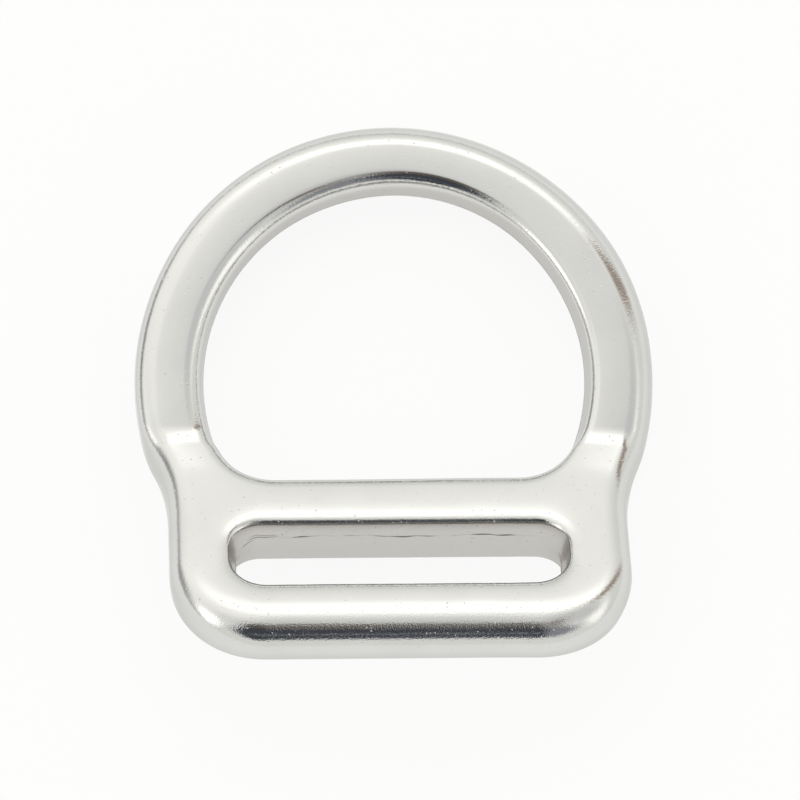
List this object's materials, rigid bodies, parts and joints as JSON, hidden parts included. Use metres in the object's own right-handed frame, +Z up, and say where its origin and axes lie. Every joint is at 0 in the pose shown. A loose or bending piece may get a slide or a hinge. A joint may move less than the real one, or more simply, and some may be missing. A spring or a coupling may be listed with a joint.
{
  "type": "d ring with a webbing slot",
  "caption": "Forged light-alloy ring for harness webbing: a round eye for a connector above a bent base with a long slot that the webbing passes through.",
  "frame": {"origin": "middle of the ring's box in X and Y, on the surface that its back lies on", "axes": "+Z up, out of the front face; +X along the slot; +Y from the slotted base to the top of the eye"},
  "size_m": [0.074, 0.0786, 0.0223],
  "materials": {
    "polished_alloy": "tumbled and polished"
  },
  "bodies": {
    "root": {"d_ring": "polished_alloy"}
  },
  "joints": []
}
